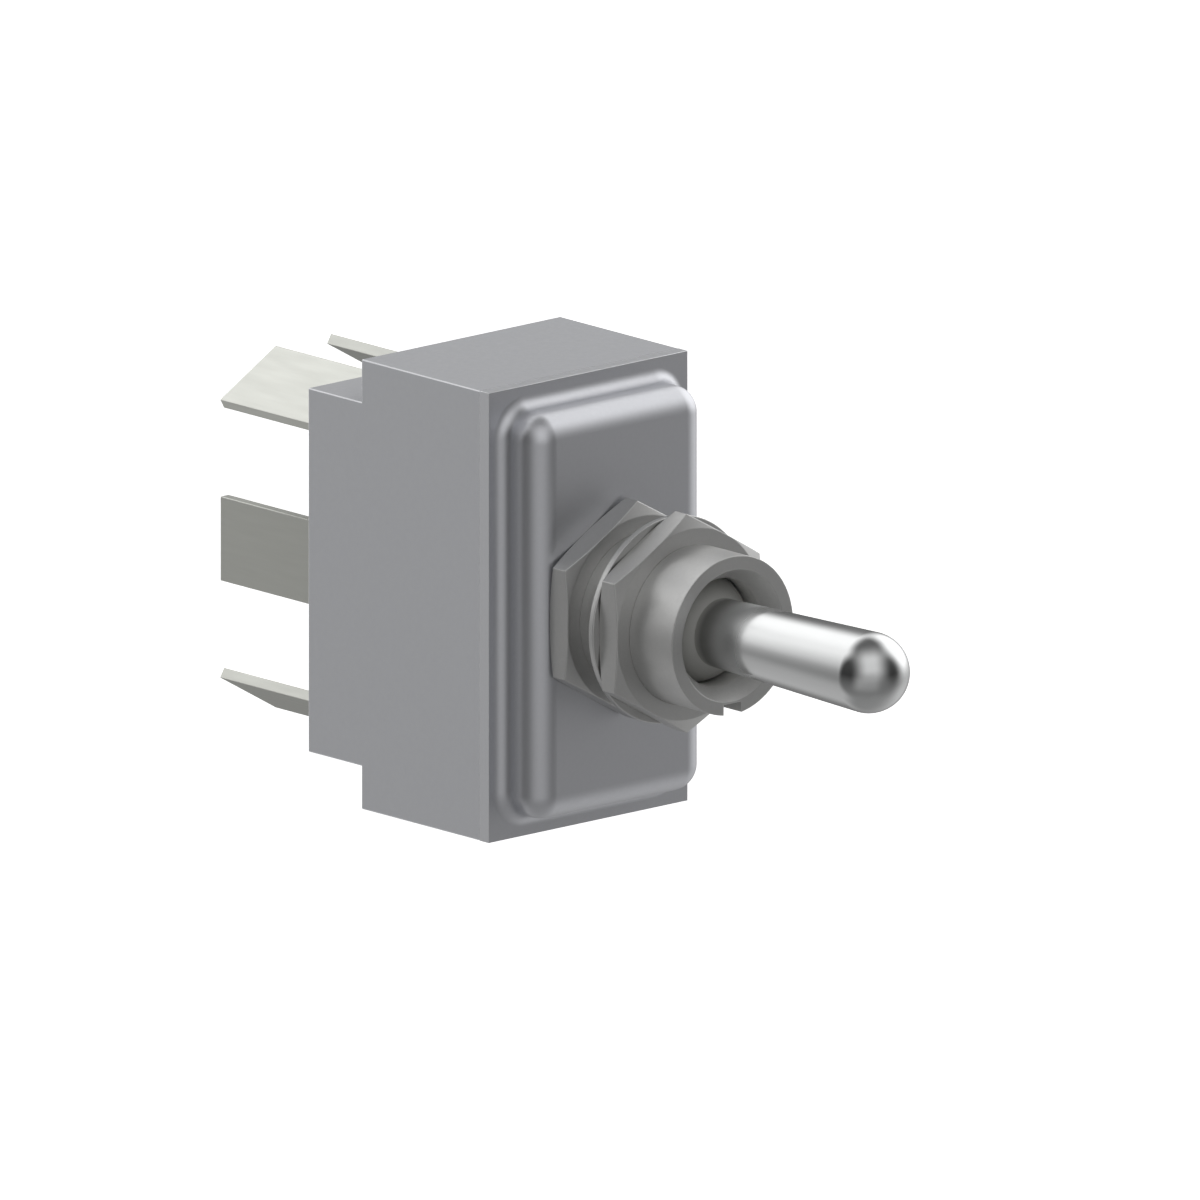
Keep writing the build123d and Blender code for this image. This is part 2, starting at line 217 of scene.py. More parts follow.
def new_material(name, **settings):
    """A material with one Principled shader, whose constant values are set on its own sockets."""
    material = bpy.data.materials.new(name)
    material.use_nodes = True
    tree = material.node_tree
    shader = tree.nodes["Principled BSDF"]
    for socket, value in settings.items():
        shader.inputs[socket.replace("_", " ")].default_value = value
    return material, tree, shader


def grain(tree, shader, size, depth, colour, darker, rough, stretch=(1, 1, 1), edge=0):
    """A noise of a real grain size, in millimetres, for relief, mottling and uneven gloss.

    Edges that are too fine to cut may be given a shaded round of that radius.
    """
    place = add_node(tree, "ShaderNodeTexCoord", {}).outputs["Object"]
    stretched = add_node(tree, "ShaderNodeMapping", {"Scale": stretch}, [("Vector", place)])
    noise = add_node(
        tree,
        "ShaderNodeTexNoise",
        {"Scale": 1000 / size, "Detail": noise_detail, "Roughness": noise_roughness},
        [("Vector", stretched.outputs["Vector"])],
    ).outputs["Fac"]
    relief = {"Strength": 1.0, "Distance": depth / 1000}
    bump = add_node(tree, "ShaderNodeBump", relief, [("Height", noise)])
    tree.links.new(bump.outputs["Normal"], shader.inputs["Normal"])
    if edge:
        rounded = add_node(
            tree, "ShaderNodeBevel", {"samples": round_samples, "Radius": edge / 1000}
        )
        tree.links.new(rounded.outputs["Normal"], bump.inputs["Normal"])
    limits = dict(zip(("From Min", "From Max", "To Min", "To Max"), noise_range + rough))
    gloss = add_node(tree, "ShaderNodeMapRange", limits, [("Value", noise)])
    tree.links.new(gloss.outputs["Result"], shader.inputs["Roughness"])
    tints = {"data_type": "RGBA", 6: hex_colour(colour), 7: hex_colour(darker)}
    tint = add_node(tree, "ShaderNodeMix", tints, [(0, noise)])
    tree.links.new(tint.outputs[2], shader.inputs["Base Color"])


def fit(piece, name, body, nodes, material=None):
    """Names the piece, gives it its material, and puts it on its body in place of the CAD nodes."""
    piece.name = name
    piece.data.name = name
    if material:
        piece.data.materials.append(material)
    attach(piece, body)
    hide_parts(*nodes)


# Nearly all of a noise lies in this range, which is spread over a material's range of roughness.
noise_range = (0.3, 0.7)
noise_detail = 4.0
noise_roughness = 0.6
round_samples = 8

# Compression-moulded phenolic is dense and smooth, with a faint satin skin and almost no grain.
phenolic, tree, shader = new_material("moulded phenolic", IOR=1.55)
grain(tree, shader, 0.4, 0.002, "9c9da0", "98999c", rough=(0.42, 0.50))
# The edge rounds take a lighter, smoother copy of the phenolic; its lighter colour is a painted
# highlight that shows each edge as a fine line.
phenolic_edge_highlight, tree, shader = new_material("phenolic edge, painted highlight", IOR=1.55)
grain(tree, shader, 0.4, 0.002, "d4d5d8", "cccdd0", rough=(0.30, 0.36))

case = block(
    (-case_width / 2, case_front, -block_height / 2),
    (case_width / 2, block_back, block_height / 2),
)
bpy.ops.object.mode_set(mode="EDIT")
split(case, lambda low, high: at(low.y, block_back), 2, -step_height / 2, step_height / 2)
pick(case, "FACE", lambda low, high: at(low.y, block_back) and at(high.z, step_height / 2))
pull(0, step_back - block_back, 0)
pick(case, "FACE", lambda low, high: at(high.y, case_front))
bpy.ops.mesh.inset(thickness=(case_width - hollow_width) / 2000)
stretched = hollow_height / (block_height - case_width + hollow_width)
bpy.ops.transform.resize(value=(1, 1, stretched), center_override=mm(0, case_front, 0))
pull(0, ledge - case_front, 0)


def on_ledge(low, high):
    """The flat at the bottom of the deep hollow, before the two pockets go further back."""
    return at(low.y, ledge) and at(high.y, ledge)


split(case, on_ledge, 2, -pocket_height / 2, pocket_height / 2)
split(case, on_ledge, 0, -barrier_thickness / 2, barrier_thickness / 2)
for pocket, depth in ((True, floor - ledge), (False, barrier_front - ledge)):
    pick(
        case,
        "FACE",
        lambda low, high: on_ledge(low, high)
        and at(high.z, pocket_height / 2)
        and (high.x - low.x > barrier_thickness + slack) == pocket,
    )
    pull(0, depth, 0)
for end in (-1, 1):
    slot_low = end * tongue_height - slot_thickness / 2
    slot_high = end * tongue_height + slot_thickness / 2

    def end_rim(low, high):
        return at(high.y, case_front) and (low.z + high.z) * end > block_height

    split(case, end_rim, 0, -slot_width / 2, slot_width / 2)
    split(
        case,
        lambda low, high: end_rim(low, high) and at(high.x, slot_width / 2),
        2,
        slot_low,
        slot_high,
    )
    pick(
        case,
        "FACE",
        lambda low, high: at(high.y, case_front)
        and at(high.x, slot_width / 2)
        and at(low.z, slot_low)
        and at(high.z, slot_high),
    )
    pull(0, slot_depth, 0)
close_mesh()
# The second slot, for the edge rounds, is the lighter phenolic: a painted highlight.
for finish in (phenolic, phenolic_edge_highlight):
    case.data.materials.append(finish)
break_edges(case, case_edge, leave=lambda place: at(place.y, case_front), slot=1)
fit(case, "moulded_case", "switch_body", ["case"])

# End terminals.
# Four blades blanked from 0.8 mm brass strip and bright tin plated, tilted to leave room for the
# middle pair. A narrower shank is moulded in the case, and a pad carries the fixed contact.
blade_width = 6.35
blade_thickness = 0.8
blade_end = 35.0
shank_width = 5.0
pad_front = 20.16
pad_reach = 3.0
end_blade_across = 5.25
end_blade_up = 11.72
end_blade_tilt = 30.0
blade_edge = 0.045

# Tin plate is bright but soft in its reflections, a little warmer than steel, with a rolled grain.
tin, tree, shader = new_material("tin-plated brass", Metallic=1.0)
grain(tree, shader, 0.5, 0.0008, "cdcec8", "c7c8c2", rough=(0.41, 0.47), stretch=(1, 0.1, 1))


def copy_of(piece, scale):
    """A copy with its own mesh, mirrored across the planes where the scale is negative."""
    bpy.ops.object.select_all(action="DESELECT")
    twin = piece.copy()
    twin.data = piece.data.copy()
    bpy.context.scene.collection.objects.link(twin)
    twin.select_set(True)
    bpy.context.view_layer.objects.active = twin
    twin.scale = scale
    bpy.ops.object.transform_apply(location=False, rotation=False, scale=True)
    bpy.ops.object.mode_set(mode="EDIT")
    close_mesh()
    return twin


def end_blade():
    """The top left terminal: blade, shank and pad, made level and then turned to its tilt."""
    half_width = blade_width / 2
    half_thickness = blade_thickness / 2
    low_corner = (-half_width, step_back, -half_thickness)
    piece = block(low_corner, (half_width, blade_end, half_thickness))
    bpy.ops.object.mode_set(mode="EDIT")
    split(piece, lambda low, high: at(high.y, step_back), 0, -shank_width / 2, shank_width / 2)
    pick(piece, "FACE", lambda low, high: at(high.y, step_back) and at(high.x, shank_width / 2))
    pull(0, floor - step_back, 0)
    pull(0, pad_front - floor, 0)
    pick(piece, "FACE", lambda low, high: at(low.z, half_thickness) and at(low.y, pad_front))
    pull(0, 0, pad_reach)
    close_mesh()
    piece.rotation_euler = (0, radians(180 - end_blade_tilt), 0)
    piece.location = mm(-end_blade_across, 0, end_blade_up)
    bpy.ops.object.transform_apply(location=True, rotation=True, scale=True)
    return piece


top_left_blade = end_blade()
for end_name, end in (("top", 1), ("bottom", -1)):
    for side_name, side in (("left", 1), ("right", -1)):
        blade = copy_of(top_left_blade, (side, 1, end))
        break_edges(blade, blade_edge)
        node = f"terminal_{end_name}_{side_name}"
        fit(blade, f"blade_{end_name}_{side_name}", "switch_body", [node], tin)
bpy.data.objects.remove(top_left_blade)

# Middle terminals.
# Two upright blades of the same strip. Inside, each ends in a cradle: a pad with two ears whose
# notches carry the lugs of the rocker.
pole_across = 5.35
middle_blade_across = 7.75
ear_spacing = 4.8
ear_width = 3.6
ear_front = 16.9
notch_depth = 17.6
notch_radius = 0.68
notch_opening = 2.0
notch_tool_length = 8.0
notch_steps = 32


def cut(piece, tool, operation="DIFFERENCE"):
    """Takes the tool out of the piece, joins it on or keeps what they share, and removes it."""
    modify(piece, "BOOLEAN", operation=operation, object=tool, solver="EXACT")
    bpy.data.objects.remove(tool)


def middle_blade():
    """The right middle terminal, from its blade forwards to the notched ears."""
    half_thickness = blade_thickness / 2
    inner = middle_blade_across - half_thickness
    low_corner = (inner, step_back, -blade_width / 2)
    high_corner = (middle_blade_across + half_thickness, blade_end, blade_width / 2)
    piece = block(low_corner, high_corner)
    bpy.ops.object.mode_set(mode="EDIT")
    split(piece, lambda low, high: at(high.y, step_back), 2, -shank_width / 2, shank_width / 2)
    pick(piece, "FACE", lambda low, high: at(high.y, step_back) and at(high.z, shank_width / 2))
    pull(0, floor - step_back, 0)
    pull(0, pad_front - floor, 0)
    pick(piece, "FACE", lambda low, high: at(high.x, inner) and at(low.y, pad_front))
    pull(blade_thickness - ear_spacing, 0, 0)
    pull(-blade_thickness, 0, 0)
    split(piece, lambda low, high: at(high.y, pad_front), 2, -ear_width / 2, ear_width / 2)
    pick(
        piece,
        "FACE",
        lambda low, high: at(high.y, pad_front)
        and at(high.z, ear_width / 2)
        and high.x - low.x < blade_thickness + slack,
    )
    pull(0, ear_front - pad_front, 0)
    close_mesh()
    notch = start(
        bpy.ops.mesh.primitive_cylinder_add,
        vertices=notch_steps,
        radius=notch_radius / 1000,
        depth=notch_tool_length / 1000,
        location=mm(pole_across, notch_depth, 0),
        rotation=(0, pi / 2, 0),
    )
    bpy.ops.object.mode_set(mode="EDIT")
    pick(notch, "VERT", lambda low, high: low.y < notch_depth - slack)
    bpy.ops.transform.translate(value=mm(0, -notch_opening, 0))
    bpy.ops.object.mode_set(mode="OBJECT")
    cut(piece, notch)
    return piece


right_blade = middle_blade()
for side_name, side in (("left", -1), ("right", 1)):
    blade = copy_of(right_blade, (side, 1, 1))
    break_edges(blade, blade_edge)
    node = f"terminal_middle_{side_name}"
    fit(blade, f"blade_middle_{side_name}", "switch_body", [node], tin)
bpy.data.objects.remove(right_blade)

# Contacts and rockers.
# Silver rivets are headed into the terminals and into the two brass rockers, which close one end
# or the other. They are sealed inside, and keep the shape of the solids.
fine_silver, tree, shader = new_material("fine silver", Metallic=1.0)
grain(tree, shader, 0.15, 0.001, "e9e8e4", "d9d8d2", rough=(0.22, 0.34))
bare_brass, tree, shader = new_material("rolled brass", Metallic=1.0)
grain(tree, shader, 0.25, 0.001, "c9a560", "bd9750", rough=(0.28, 0.38), stretch=(1, 1, 0.1))


def dress(node, material):
    """Gives a CAD node, which keeps its shape, the material of the real piece."""
    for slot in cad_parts[node].material_slots:
        slot.material = material


for side_name in ("left", "right"):
    dress(f"rocker_{side_name}", bare_brass)
    for end_name in ("top", "bottom"):
        dress(f"fixed_contact_{end_name}_{side_name}", fine_silver)
        dress(f"moving_contact_{end_name}_{side_name}", fine_silver)

# Cover plate.
# Drawn from 1 mm steel sheet: the punch rounds the boss's edge and the die rounds its foot, and a
# tongue at each end goes into the case. It is satin nickel plated.
boss_half_width = 8.38
boss_half_height = 15.25
boss_corner = 2.0
boss_edge_radius = 1.93
boss_foot_radius = 1.0
boss_rise = 3.75
sheet = 1.0
tongue_width = 6.0
tongue_length = 5.0
plate_edge = 0.12
hole_radius = 5.953
hole_tool_length = 4.0
arc_steps = 16
corner_steps = 20
turning_steps = 128

# Satin nickel mirrors softly: flat faces are even, and every round carries a smooth highlight.
satin_nickel, tree, shader = new_material("satin nickel plate", Metallic=1.0)
grain(tree, shader, 0.3, 0.0006, "cbccd0", "c7c8cc", rough=(0.40, 0.45))
# The sheet's sides are sheared; they take a lighter copy of the nickel as painted light, so they
# show as light as the case beside them.
nickel_side_painted_light, tree, shader = new_material("nickel sides, painted lighter", Metallic=1.0)
grain(tree, shader, 0.3, 0.0006, "e1e2e5", "dddee1", rough=(0.33, 0.38))
# Each outer edge of the cover takes a near-white copy of the nickel, a painted highlight that shows
# it as a fine line.
nickel_edge_highlight, tree, shader = new_material("nickel edge, painted highlight", Metallic=1.0)
grain(tree, shader, 0.3, 0.0006, "f4f5f6", "f0f1f3", rough=(0.28, 0.34))


def wire(points):
    """A chain of edges through points in millimetres, drawn by extruding one vertex."""
    piece = start(bpy.ops.mesh.primitive_plane_add, size=0.001)
    bpy.ops.object.mode_set(mode="EDIT")
    bpy.ops.mesh.merge(type="CENTER")
    bpy.ops.transform.translate(value=mm(*points[0]))
    for here, there in zip(points, points[1:]):
        step = mm(*[b - a for a, b in zip(here, there)])
        bpy.ops.mesh.extrude_vertices_move(TRANSFORM_OT_translate={"value": step})
    return piece


# A quarter of the drawn face is made first: one corner is spun, and the flats are pulled from it.
corner_x = boss_half_width - boss_corner
corner_z = boss_half_height - boss_corner
crest = boss_corner - boss_edge_radius
foot_y = boss_rise - boss_foot_radius
profile = [(corner_x, 0, corner_z)]
for i in range(arc_steps + 1):
    turn = pi / 2 * i / arc_steps
    across = crest + boss_edge_radius * sin(turn)
    profile.append((corner_x + across, boss_edge_radius * (1 - cos(turn)), corner_z))
for i in range(arc_steps + 1):
    turn = pi / 2 * i / arc_steps
    across = boss_corner + boss_foot_radius * (1 - cos(turn))
    profile.append((corner_x + across, foot_y + boss_foot_radius * sin(turn), corner_z))
foot = boss_corner + boss_foot_radius

plate = wire(profile)
bpy.ops.mesh.select_all(action="SELECT")
corner_centre = mm(corner_x, 0, corner_z)
bpy.ops.mesh.spin(steps=corner_steps, angle=pi / 2, center=corner_centre, axis=(0, 1, 0))
merge_doubles()


def pull_edges(test, x, z):
    """Extrudes the sheet's edges that pass the test by that much across and up."""
    pick(plate, "EDGE", test)
    pull(x, 0, z)


def at_x(low, high):
    """Whether an edge keeps to the distance across of the corner's centre."""
    return at(low.x, corner_x) and at(high.x, corner_x)


to_side = case_width / 2 - corner_x - foot
to_top = block_height / 2 - corner_z - foot
pull_edges(
    lambda low, high: at(low.z, corner_z) and at(high.z, corner_z) and low.x > corner_x - slack,
    0,
    -corner_z,
)
pull_edges(lambda low, high: at_x(low, high) and low.z > corner_z - slack, -corner_x, 0)
pull_edges(lambda low, high: at_x(low, high) and at(low.z, 0), -corner_x, 0)
pull_edges(
    lambda low, high: at(low.x, corner_x + foot) and at(low.z, 0) and at(high.z, corner_z),
    to_side,
    0,
)
pull_edges(
    lambda low, high: at(low.z, corner_z + foot) and at(low.x, 0) and at(high.x, corner_x),
    0,
    to_top,
)
pick(plate, "VERT", lambda low, high: at(low.x, case_width / 2) and at(low.z, corner_z))
for step in (mm(0, 0, to_top + foot), mm(-to_side - foot, 0, 0)):
    bpy.ops.mesh.extrude_vertices_move(TRANSFORM_OT_translate={"value": step})
merge_doubles()
pick(
    plate,
    "EDGE",
    lambda low, high: at(low.y, boss_rise)
    and low.x > corner_x - slack
    and low.z > corner_z - slack
    and Vector((low.x - corner_x, high.z - corner_z)).length > foot - slack,
)
bpy.ops.mesh.edge_face_add()
close_mesh()
modify(plate, "MIRROR", use_axis=(True, False, True), use_clip=True, merge_threshold=weld)
bpy.ops.object.mode_set(mode="EDIT")
close_mesh()
# The wall grows backwards from the drawn face, whichever way its normals were left.
flat_normals = [f.normal.y for f in plate.data.polygons if abs(f.center.y) < weld]
modify(
    plate,
    "SOLIDIFY",
    thickness=sheet / 1000,
    offset=1.0 if flat_normals[0] > 0 else -1.0,
    use_even_offset=True,
)
hole = start(
    bpy.ops.mesh.primitive_cylinder_add,
    vertices=turning_steps,
    radius=hole_radius / 1000,
    depth=hole_tool_length / 1000,
    rotation=(pi / 2, 0, 0),
)
cut(plate, hole)
plate_back = boss_rise + sheet
for end in (-1, 1):
    tongue_low = (-tongue_width / 2, boss_rise + sheet / 2, end * tongue_height - sheet / 2)
    tongue_high = (tongue_width / 2, plate_back + tongue_length, end * tongue_height + sheet / 2)
    cut(plate, block(tongue_low, tongue_high), "UNION")
bpy.ops.object.mode_set(mode="EDIT")
for finish in (satin_nickel, nickel_side_painted_light, nickel_edge_highlight):
    plate.data.materials.append(finish)
# The sheet's sides take the lighter nickel, which is painted light, and the edge rounds take the
# near-white nickel, a painted highlight.
plate.active_material_index = 1
for axis, reach in ((0, case_width / 2), (2, block_height / 2)):
    pick(plate, "FACE", lambda low, high: at(abs(low[axis]), reach) and at(low[axis], high[axis]))
    bpy.ops.object.material_slot_assign()
close_mesh()
# The rounds of the outer edges take the painted highlight; the back edges stay sharp.
break_edges(
    plate, plate_edge, angle=50, leave=lambda place: place.y > plate_back - slack, slot=2
)
fit(plate, "drawn_cover", "switch_body", ["cover_plate"])

# Bushing.
# Turned from brass bar and nickel plated: the flange is held behind the cover, the lever's ball
# sits in the bore behind a conical mouth, and a keyway is milled along the underside.
bushing_radius = hole_radius
bushing_end = -12.09
mouth_radius = 4.95
mouth_depth = 1.45
throat_radius = 4.06
flange_radius = 6.4
flange_back = 2.2
pivot = -7.25
seat_radius = 4.43
seat_steps = 8
keyway_width = 1.73
keyway_depth = 0.86
keyway_length = 11.0
pin_groove_radius = 0.85
pin_groove_length = 10.3
groove_steps = 48
tool_past = 1.0
bushing_edge = 0.06
shaded_edge = 0.12
mouth_reach = 4.65
bore_reach = 4.45
least_depth = 0.1

# Bright nickel over machined brass mirrors softly, a little warmer than on the steel, and its
# tumbled arrises are rounded in the shading.
plated_brass, tree, shader = new_material("nickel-plated brass", Metallic=1.0)
grain(tree, shader, 0.3, 0.0006, "c4c4c3", "bfbfbe", rough=(0.40, 0.46), edge=shaded_edge)
# The conical mouth takes a lighter, less metallic and rougher copy of the plating: the lighter
# colour is painted light that lifts the shade in the mouth.
mouth_painted_light, tree, shader = new_material("conical mouth, painted lighter", Metallic=0.7)
grain(tree, shader, 0.3, 0.001, "d4d4d3", "cbcbca", rough=(0.46, 0.54))
# The bore is only rough turned; its much paler, less metallic copy of the plating is painted light
# that lifts the shade deep in the bushing.
bore_painted_light, tree, shader = new_material("rough-turned bore, painted lighter", Metallic=0.3)
grain(tree, shader, 0.2, 0.002, "e2e2e0", "d8d8d6", rough=(0.55, 0.65))


def turned(outline, steps=turning_steps):
    """A lathe turning: an outline of (radius, depth) points spun about the bushing's axis."""
    piece = wire([(radius, depth, 0) for radius, depth in outline])
    bpy.ops.mesh.select_all(action="SELECT")
    bpy.ops.mesh.spin(steps=steps, angle=2 * pi, center=(0, 0, 0), axis=(0, 1, 0))
    close_mesh()
    return piece


seat_front = pivot - sqrt(seat_radius**2 - throat_radius**2)
seat_start = atan2(pivot - seat_front, throat_radius)
outline = [
    (seat_radius, flange_back),
    (flange_radius, flange_back),
    (flange_radius, sheet),
    (bushing_radius, sheet),
    (bushing_radius, bushing_end),
    (mouth_radius, bushing_end),
    (throat_radius, bushing_end + mouth_depth),
    (throat_radius, seat_front),
]
for i in range(1, seat_steps + 1):
    turn = seat_start * (1 - i / seat_steps)
    outline.append((seat_radius * cos(turn), pivot - seat_radius * sin(turn)))
outline.append(outline[0])
bushing = turned(outline)
groove = start(
    bpy.ops.mesh.primitive_cylinder_add,
    vertices=groove_steps,
    radius=pin_groove_radius / 1000,
    depth=pin_groove_length / 1000,
    location=mm(0, pivot, 0),
    rotation=(0, pi / 2, 0),
)
bpy.ops.object.mode_set(mode="EDIT")
pick(groove, "VERT", lambda low, high: low.y > pivot + slack)
bpy.ops.transform.translate(value=mm(0, flange_back - pivot + tool_past, 0))
bpy.ops.object.mode_set(mode="OBJECT")
cut(bushing, groove)
keyway_low = (-keyway_width / 2, bushing_end - tool_past, -bushing_radius - tool_past)
keyway_high = (keyway_width / 2, bushing_end + keyway_length, keyway_depth - bushing_radius)
cut(bushing, block(keyway_low, keyway_high))
# Inside the mouth and the bore the plating is swapped for lighter copies, painted light that lifts
# the shade there.
for finish in (plated_brass, mouth_painted_light, bore_painted_light):
    bushing.data.materials.append(finish)
bpy.ops.object.mode_set(mode="EDIT")
for slot, reach in ((1, mouth_reach), (2, bore_reach)):
    bushing.active_material_index = slot
    pick(
        bushing,
        "FACE",
        lambda low, high: Vector((low.x + high.x, low.z + high.z)).length / 2 < reach
        and high.y - low.y > least_depth,
    )
    bpy.ops.object.material_slot_assign()
bpy.ops.object.mode_set(mode="OBJECT")
break_edges(bushing, bushing_edge, angle=25)
fit(bushing, "turned_bushing", "switch_body", ["bushing"])

# Lever.
# One turning in brass: a bat with a round tip, a ball that rocks in the bushing and a tail behind.
# It is polished and chrome plated.
ball_radius = 4.35
lever_root_radius = 2.6
lever_tip_radius = 3.02
lever_tip = -30.05
tail_radius = 1.9
tail_end = 10.0
tip_steps = 32
ball_steps = 40

# Bright chrome over polished brass: a near mirror, softened only by fine buffing. Two painted films
# change its colour towards the ball: a dark one along the neck is painted shade at its root, and a
# paler, less metallic one over the ball inside the mouth is painted light that lifts the shade
# there. The neck is also rougher towards the ball. Each film has the depths where it starts and is
# full, its colour, and how metallic it looks.
painted_shade_and_light = [(-14.6, -11.8, "7c7c7a", 0.8), (-11.6, -10.7, "a2a29f", 0.3)]
dulled_from = -16.6
dulled_to = -12.6
dulled_roughness = 0.7
chrome, tree, shader = new_material("polished chrome plate", Metallic=1.0)
grain(tree, shader, 0.6, 0.0002, "c8c9c9", "c5c6c6", rough=(0.13, 0.16), stretch=(1, 0.2, 1))
gloss = shader.inputs["Roughness"].links[0].from_socket
plating = shader.inputs["Base Color"].links[0].from_socket
place = add_node(tree, "ShaderNodeTexCoord", {}).outputs["Object"]
depth = add_node(tree, "ShaderNodeSeparateXYZ", {}, [(0, place)]).outputs["Y"]


def towards_ball(low, high):
    """0 out along the lever and 1 towards its ball, with a soft change between two depths."""
    limits = {"From Min": low / 1000, "From Max": high / 1000}
    limits["interpolation_type"] = "SMOOTHSTEP"
    return add_node(tree, "ShaderNodeMapRange", limits, [("Value", depth)]).outputs["Result"]


# The films paint shade along the neck and a lighter, less metallic colour over the ball in the
# mouth.
metal = []
for low, high, colour, painted_metallic in painted_shade_and_light:
    painted_share = towards_ball(low, high)
    painted_tint = {"data_type": "RGBA", 7: hex_colour(colour)}
    plating = add_node(tree, "ShaderNodeMix", painted_tint, [(0, painted_share), (6, plating)]).outputs[2]
    shown = {"data_type": "FLOAT", "A": 1.0, "B": painted_metallic}
    covered = add_node(tree, "ShaderNodeMix", shown, [("Factor", painted_share)] + metal)
    metal = [("A", covered.outputs["Result"])]
tree.links.new(plating, shader.inputs["Base Color"])
tree.links.new(covered.outputs["Result"], shader.inputs["Metallic"])
dulled = add_node(
    tree,
    "ShaderNodeMix",
    {"data_type": "FLOAT", "B": dulled_roughness},
    [("Factor", towards_ball(dulled_from, dulled_to)), ("A", gloss)],
)
tree.links.new(dulled.outputs["Result"], shader.inputs["Roughness"])

tip_centre = lever_tip + lever_tip_radius
taper = (lever_tip_radius - lever_root_radius) / (bushing_end - tip_centre)
root_depth = pivot - bushing_end - sqrt(ball_radius**2 - lever_root_radius**2)
root_radius = lever_root_radius - taper * root_depth
outline = []
for i in range(tip_steps + 1):
    turn = pi / 2 * i / tip_steps
    outline.append((lever_tip_radius * sin(turn), tip_centre - lever_tip_radius * cos(turn)))
ball_start = atan2(root_radius, sqrt(ball_radius**2 - root_radius**2))
ball_end = pi - atan2(tail_radius, sqrt(ball_radius**2 - tail_radius**2))
for i in range(ball_steps + 1):
    turn = ball_start + (ball_end - ball_start) * i / ball_steps
    outline.append((ball_radius * sin(turn), pivot - ball_radius * cos(turn)))
outline += [(tail_radius, tail_end), (0, tail_end)]
lever = turned(outline)
bpy.ops.object.shade_smooth_by_angle(angle=radians(20))
fit(lever, "bat_lever", "lever", ["toggle_lever"], chrome)

# Pivot pin, actuator, plungers and springs.
# The pin crosses the ball. A crosshead moulded in natural nylon is pressed on the tail, and its two
# plungers ride on the rockers, each on a coil spring. The coils are made at one length, so they do
# not shorten as a plunger slides in.
nylon, tree, shader = new_material("natural nylon", IOR=1.53, Subsurface_Weight=0.15)
grain(tree, shader, 0.3, 0.002, "ddd8c8", "d5cfbd", rough=(0.45, 0.55))
drawn_steel, tree, shader = new_material("drawn steel wire", Metallic=1.0)
grain(tree, shader, 0.1, 0.0005, "b9b9ba", "a9a9ab", rough=(0.25, 0.35))
dress("pivot_pin", drawn_steel)
dress("actuator", nylon)
spring_radius = 0.8
spring_wire = 0.16
spring_turns = 4
turn_steps = 24
wire_sides = 8
for side_name, side in (("left", -1), ("right", 1)):
    dress(f"plunger_{side_name}", nylon)
    node = f"plunger_spring_{side_name}"
    low, high = [Vector(corner) * 1000 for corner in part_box(node)]
    length = high.y - low.y
    coil = start(
        bpy.ops.mesh.primitive_circle_add,
        vertices=wire_sides,
        radius=spring_wire / 1000,
        location=mm(spring_radius, low.y + spring_wire, 0),
    )
    modify(
        coil,
        "SCREW",
        axis="Y",
        screw_offset=(length - 2 * spring_wire) / spring_turns / 1000,
        iterations=spring_turns,
        steps=turn_steps,
        render_steps=turn_steps,
    )
    bpy.ops.object.mode_set(mode="EDIT")
    merge_doubles()
    bpy.ops.mesh.fill_holes(sides=wire_sides)
    bpy.ops.transform.translate(value=mm(side * pole_across, 0, 0))
    close_mesh()
    bpy.ops.object.shade_smooth_by_angle(angle=radians(50))
    fit(coil, f"coil_spring_{side_name}", "lever", [node], drawn_steel)
    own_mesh(coil)

# Nuts.
# Two thin hexagon nuts cut from bar and chamfered on both faces, one behind the panel and one in
# front of it.
nut_flats = 14.29
nut_thickness = 2.0
nut_corner_drop = 0.36
nut_bore = 5.956
front_nut_back = -5.43
nut_edge = 0.03
ring_steps = 144
ring_past = 0.001
ring_proud = 0.01


def hex_nut(back):
    """A six-sided bar slice that shares its shape with a turned, chamfered ring."""
    corner = nut_flats / 2 / cos(pi / 6)
    front = back - nut_thickness
    piece = start(
        bpy.ops.mesh.primitive_cylinder_add,
        vertices=6,
        radius=corner / 1000,
        depth=nut_thickness / 1000,
        location=mm(0, (back + front) / 2, 0),
        rotation=(pi / 2, 0, 0),
    )
    ring = turned(
        [
            (nut_bore, back + ring_past),
            (nut_flats / 2, back + ring_past),
            (corner + ring_proud, back - nut_corner_drop),
            (corner + ring_proud, front + nut_corner_drop),
            (nut_flats / 2, front - ring_past),
            (nut_bore, front - ring_past),
            (nut_bore, back + ring_past),
        ],
        steps=ring_steps,
    )
    cut(piece, ring, "INTERSECT")
    break_edges(
        piece,
        nut_edge,
        angle=12,
        leave=lambda place: Vector((place.x, place.z)).length < nut_bore + slack,
    )
    return piece


for name, back in (("rear_nut", 0), ("front_nut", front_nut_back)):
    fit(hex_nut(back), f"hexagon_{name}", "switch_body", [name], plated_brass)

# Lock washer.
# Stamped from 0.5 mm spring steel, with twelve inner teeth twisted to bite, under the front nut.
washer_radius = 7.75
washer_root = 6.9
washer_tooth_tip = 6.02
washer_thickness = 0.5
washer_teeth = 12
washer_steps = 144
washer_edge = 0.05
tooth_steps = 7
tooth_twist = 0.22
twisted_share = 0.3
washer_back = front_nut_back + washer_thickness

washer = turned(
    [
        (washer_root, washer_back),
        (washer_radius, washer_back),
        (washer_radius, front_nut_back),
        (washer_root, front_nut_back),
        (washer_root, washer_back),
    ],
    steps=washer_steps,
)
bpy.ops.object.mode_set(mode="EDIT")


def tooth_place(point):
    """How far round its tooth a point is: 0 to 1 in the tooth, and more in the gap after it."""
    round_it = atan2(point.z, point.x) / (2 * pi) * washer_steps
    return (round_it % (washer_steps / washer_teeth)) / tooth_steps


